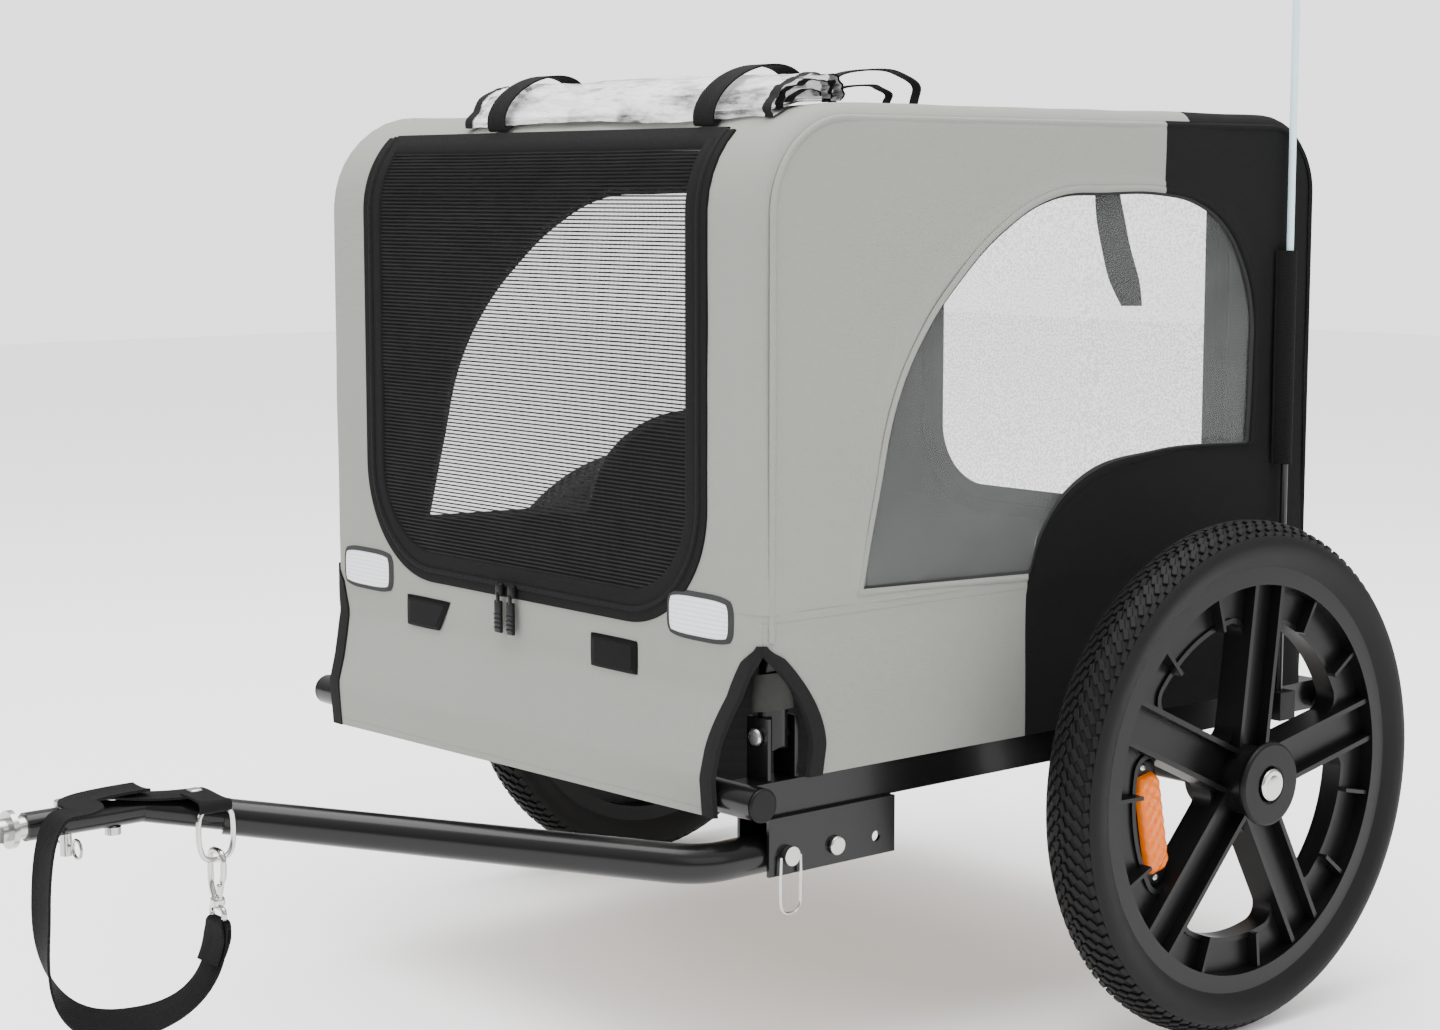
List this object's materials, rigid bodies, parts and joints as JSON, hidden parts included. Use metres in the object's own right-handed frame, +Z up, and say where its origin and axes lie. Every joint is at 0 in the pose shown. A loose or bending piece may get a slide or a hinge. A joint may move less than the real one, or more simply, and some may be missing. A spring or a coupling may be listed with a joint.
{
  "type": "dog bike trailer",
  "caption": "Two-wheeled dog bike trailer with a folding hoop cabin, mesh front and rear doors, clear side windows, roof rain cover roll, side drawbar with hitch and a safety flag.",
  "frame": {"origin": "on the ground, midway along and across the trailer", "axes": "+Z up, drawbar and front toward -Y, trailer's left side toward +X"},
  "size_m": [0.8248, 1.359, 1.1399],
  "materials": {
    "frame_paint": "satin black",
    "bolt_steel": "zinc plated",
    "black_plastic": "moulded",
    "floor_ply": "board",
    "grey_cloth": "woven polyester",
    "black_cloth": "woven polyester",
    "mesh": "open mesh",
    "clear_film": "clear film",
    "white_reflector": "reflector",
    "amber_reflector": "reflector",
    "tyre_rubber": "tread",
    "chrome": "polished",
    "webbing": "woven webbing",
    "pole": "glass fibre rod",
    "pennant": "flag cloth"
  },
  "bodies": {
    "base": {"cross_tubes": "frame_paint", "tube_end_caps": "black_plastic", "side_rails": "frame_paint", "axle_beam": "frame_paint", "floor_board": "floor_ply", "floor_mat": "black_cloth", "hinge_brackets": "frame_paint", "hinge_bolts": "bolt_steel", "drawbar_bracket": "frame_paint", "drawbar_bolt": "bolt_steel", "front_skirt": "grey_cloth", "rear_skirt": "black_cloth", "side_skirts": "grey_cloth", "front_reflectors": "white_reflector", "front_fasteners": "black_plastic", "flag_cup": "black_plastic", "stub_axles": "bolt_steel"},
    "left_hoop": {"left_hoop": "frame_paint", "left_side_panel": "grey_cloth", "left_window": "clear_film", "left_canopy": "grey_cloth", "flag_sleeve": "black_cloth", "rain_cover_roll": "clear_film", "roll_straps": "webbing"},
    "right_hoop": {"right_hoop": "frame_paint", "right_side_panel": "grey_cloth", "right_window": "clear_film", "right_canopy": "grey_cloth"},
    "left_front_bar": {"left_front_roof_bar": "frame_paint"},
    "left_rear_bar": {"left_rear_roof_bar": "frame_paint"},
    "right_front_bar": {"right_front_roof_bar": "frame_paint"},
    "right_rear_bar": {"right_rear_roof_bar": "frame_paint"},
    "front_door": {"front_door": "mesh"},
    "rear_door": {"rear_door": "mesh"},
    "left_wheel": {"left_tyre": "tyre_rubber", "left_rim": "black_plastic", "left_hub_cap": "black_plastic", "left_bearings": "bolt_steel", "left_wheel_reflector": "amber_reflector"},
    "right_wheel": {"right_tyre": "tyre_rubber", "right_rim": "black_plastic", "right_hub_cap": "black_plastic", "right_bearings": "bolt_steel", "right_wheel_reflector": "amber_reflector"},
    "left_button": {"left_release_button": "chrome"},
    "right_button": {"right_release_button": "chrome"},
    "drawbar": {"drawbar_tube": "frame_paint", "drawbar_extension": "frame_paint", "hitch_pins": "bolt_steel", "coupler_shank": "bolt_steel", "safety_strap": "webbing", "strap_ring": "chrome", "snap_hook": "chrome"},
    "coupler_yoke": {"coupler_yoke": "frame_paint"},
    "coupler_plate": {"coupler_plate": "bolt_steel"},
    "lock_pin": {"lock_pin": "bolt_steel"},
    "pin_bail": {"pin_bail": "bolt_steel"},
    "r_clip": {"r_clip": "bolt_steel"},
    "flag": {"flag_pole": "pole", "pennant": "pennant"}
  },
  "joints": [
    {"name": "left_wheel_spin", "type": "hinge", "parent": "base", "child": "left_wheel", "pos_m": [0.374, 0.3455, 0.203], "axis": [1, 0, 0], "continuous": true},
    {"name": "right_wheel_spin", "type": "hinge", "parent": "base", "child": "right_wheel", "pos_m": [-0.374, 0.3455, 0.203], "axis": [1, 0, 0], "continuous": true},
    {"name": "left_button_press", "type": "slide", "parent": "base", "child": "left_button", "axis": [-1, 0, 0], "range_m": [0, 0.0032], "stiffness_N_per_m": 500},
    {"name": "right_button_press", "type": "slide", "parent": "base", "child": "right_button", "axis": [1, 0, 0], "range_m": [0, 0.0032], "stiffness_N_per_m": 500},
    {"name": "left_side_fold", "type": "hinge", "parent": "base", "child": "left_hoop", "pos_m": [0.266, -0.0425, 0.272], "axis": [0, -1, 0], "range_deg": [0, 90], "deforming": ["left_canopy", "front_door", "rain_cover_roll", "roll_straps", "flag_sleeve"]},
    {"name": "right_side_fold", "type": "hinge", "parent": "base", "child": "right_hoop", "pos_m": [-0.266, -0.0425, 0.306], "axis": [0, 1, 0], "range_deg": [0, 90], "deforming": ["right_canopy", "rear_door"]},
    {"name": "left_front_bar_swing", "type": "hinge", "parent": "left_hoop", "child": "left_front_bar", "pos_m": [0.266, 0.0355, 0.70634], "axis": [0, -1, 0], "range_deg": [0, 90]},
    {"name": "left_rear_bar_swing", "type": "hinge", "parent": "left_hoop", "child": "left_rear_bar", "pos_m": [0.266, 0.4635, 0.70634], "axis": [0, -1, 0], "range_deg": [0, 90]},
    {"name": "right_front_bar_swing", "type": "hinge", "parent": "right_hoop", "child": "right_front_bar", "pos_m": [-0.266, 0.0355, 0.70634], "axis": [0, 1, 0], "range_deg": [0, 90]},
    {"name": "right_rear_bar_swing", "type": "hinge", "parent": "right_hoop", "child": "right_rear_bar", "pos_m": [-0.266, 0.4635, 0.70634], "axis": [0, 1, 0], "range_deg": [0, 90]},
    {"name": "front_door_open", "type": "hinge", "parent": "left_hoop", "child": "front_door", "pos_m": [0, -0.04142, 0.703], "axis": [-1, 0, 0], "range_deg": [0, 100]},
    {"name": "rear_door_open", "type": "hinge", "parent": "right_hoop", "child": "rear_door", "pos_m": [0, 0.54508, 0.69], "axis": [1, 0, 0], "range_deg": [0, 100]},
    {"name": "drawbar_fold", "type": "hinge", "parent": "base", "child": "drawbar", "pos_m": [0.2675, 0.0015, 0.187], "axis": [1, 0, 0], "range_deg": [0, 180], "deforming": ["safety_strap"]},
    {"name": "lock_pin_pull", "type": "slide", "parent": "base", "child": "lock_pin", "axis": [1, 0, 0], "range_m": [0, 0.06]},
    {"name": "bail_swing", "type": "hinge", "parent": "lock_pin", "child": "pin_bail", "pos_m": [0.2881, -0.0445, 0.187], "axis": [0, -1, 0], "range_deg": [0, 120]},
    {"name": "hitch_yaw", "type": "hinge", "parent": "drawbar", "child": "coupler_yoke", "pos_m": [0.095, -0.5785, 0.25], "axis": [0, 0, 1], "range_deg": [-60, 60]},
    {"name": "hitch_pitch", "type": "hinge", "parent": "coupler_yoke", "child": "coupler_plate", "pos_m": [0.095, -0.6205, 0.25], "axis": [1, 0, 0], "range_deg": [-35, 35]},
    {"name": "r_clip_pull", "type": "slide", "parent": "drawbar", "child": "r_clip", "axis": [1, 0, 0], "range_m": [0, 0.05]},
    {"name": "flag_lift", "type": "slide", "parent": "base", "child": "flag", "axis": [0, 0, 1], "range_m": [0, 0.2]}
  ],
  "couplings": [
    {"joint": "left_front_bar_swing", "follows": "left_side_fold", "ratio": 1},
    {"joint": "left_rear_bar_swing", "follows": "left_side_fold", "ratio": 1},
    {"joint": "right_front_bar_swing", "follows": "right_side_fold", "ratio": 1},
    {"joint": "right_rear_bar_swing", "follows": "right_side_fold", "ratio": 1}
  ]
}
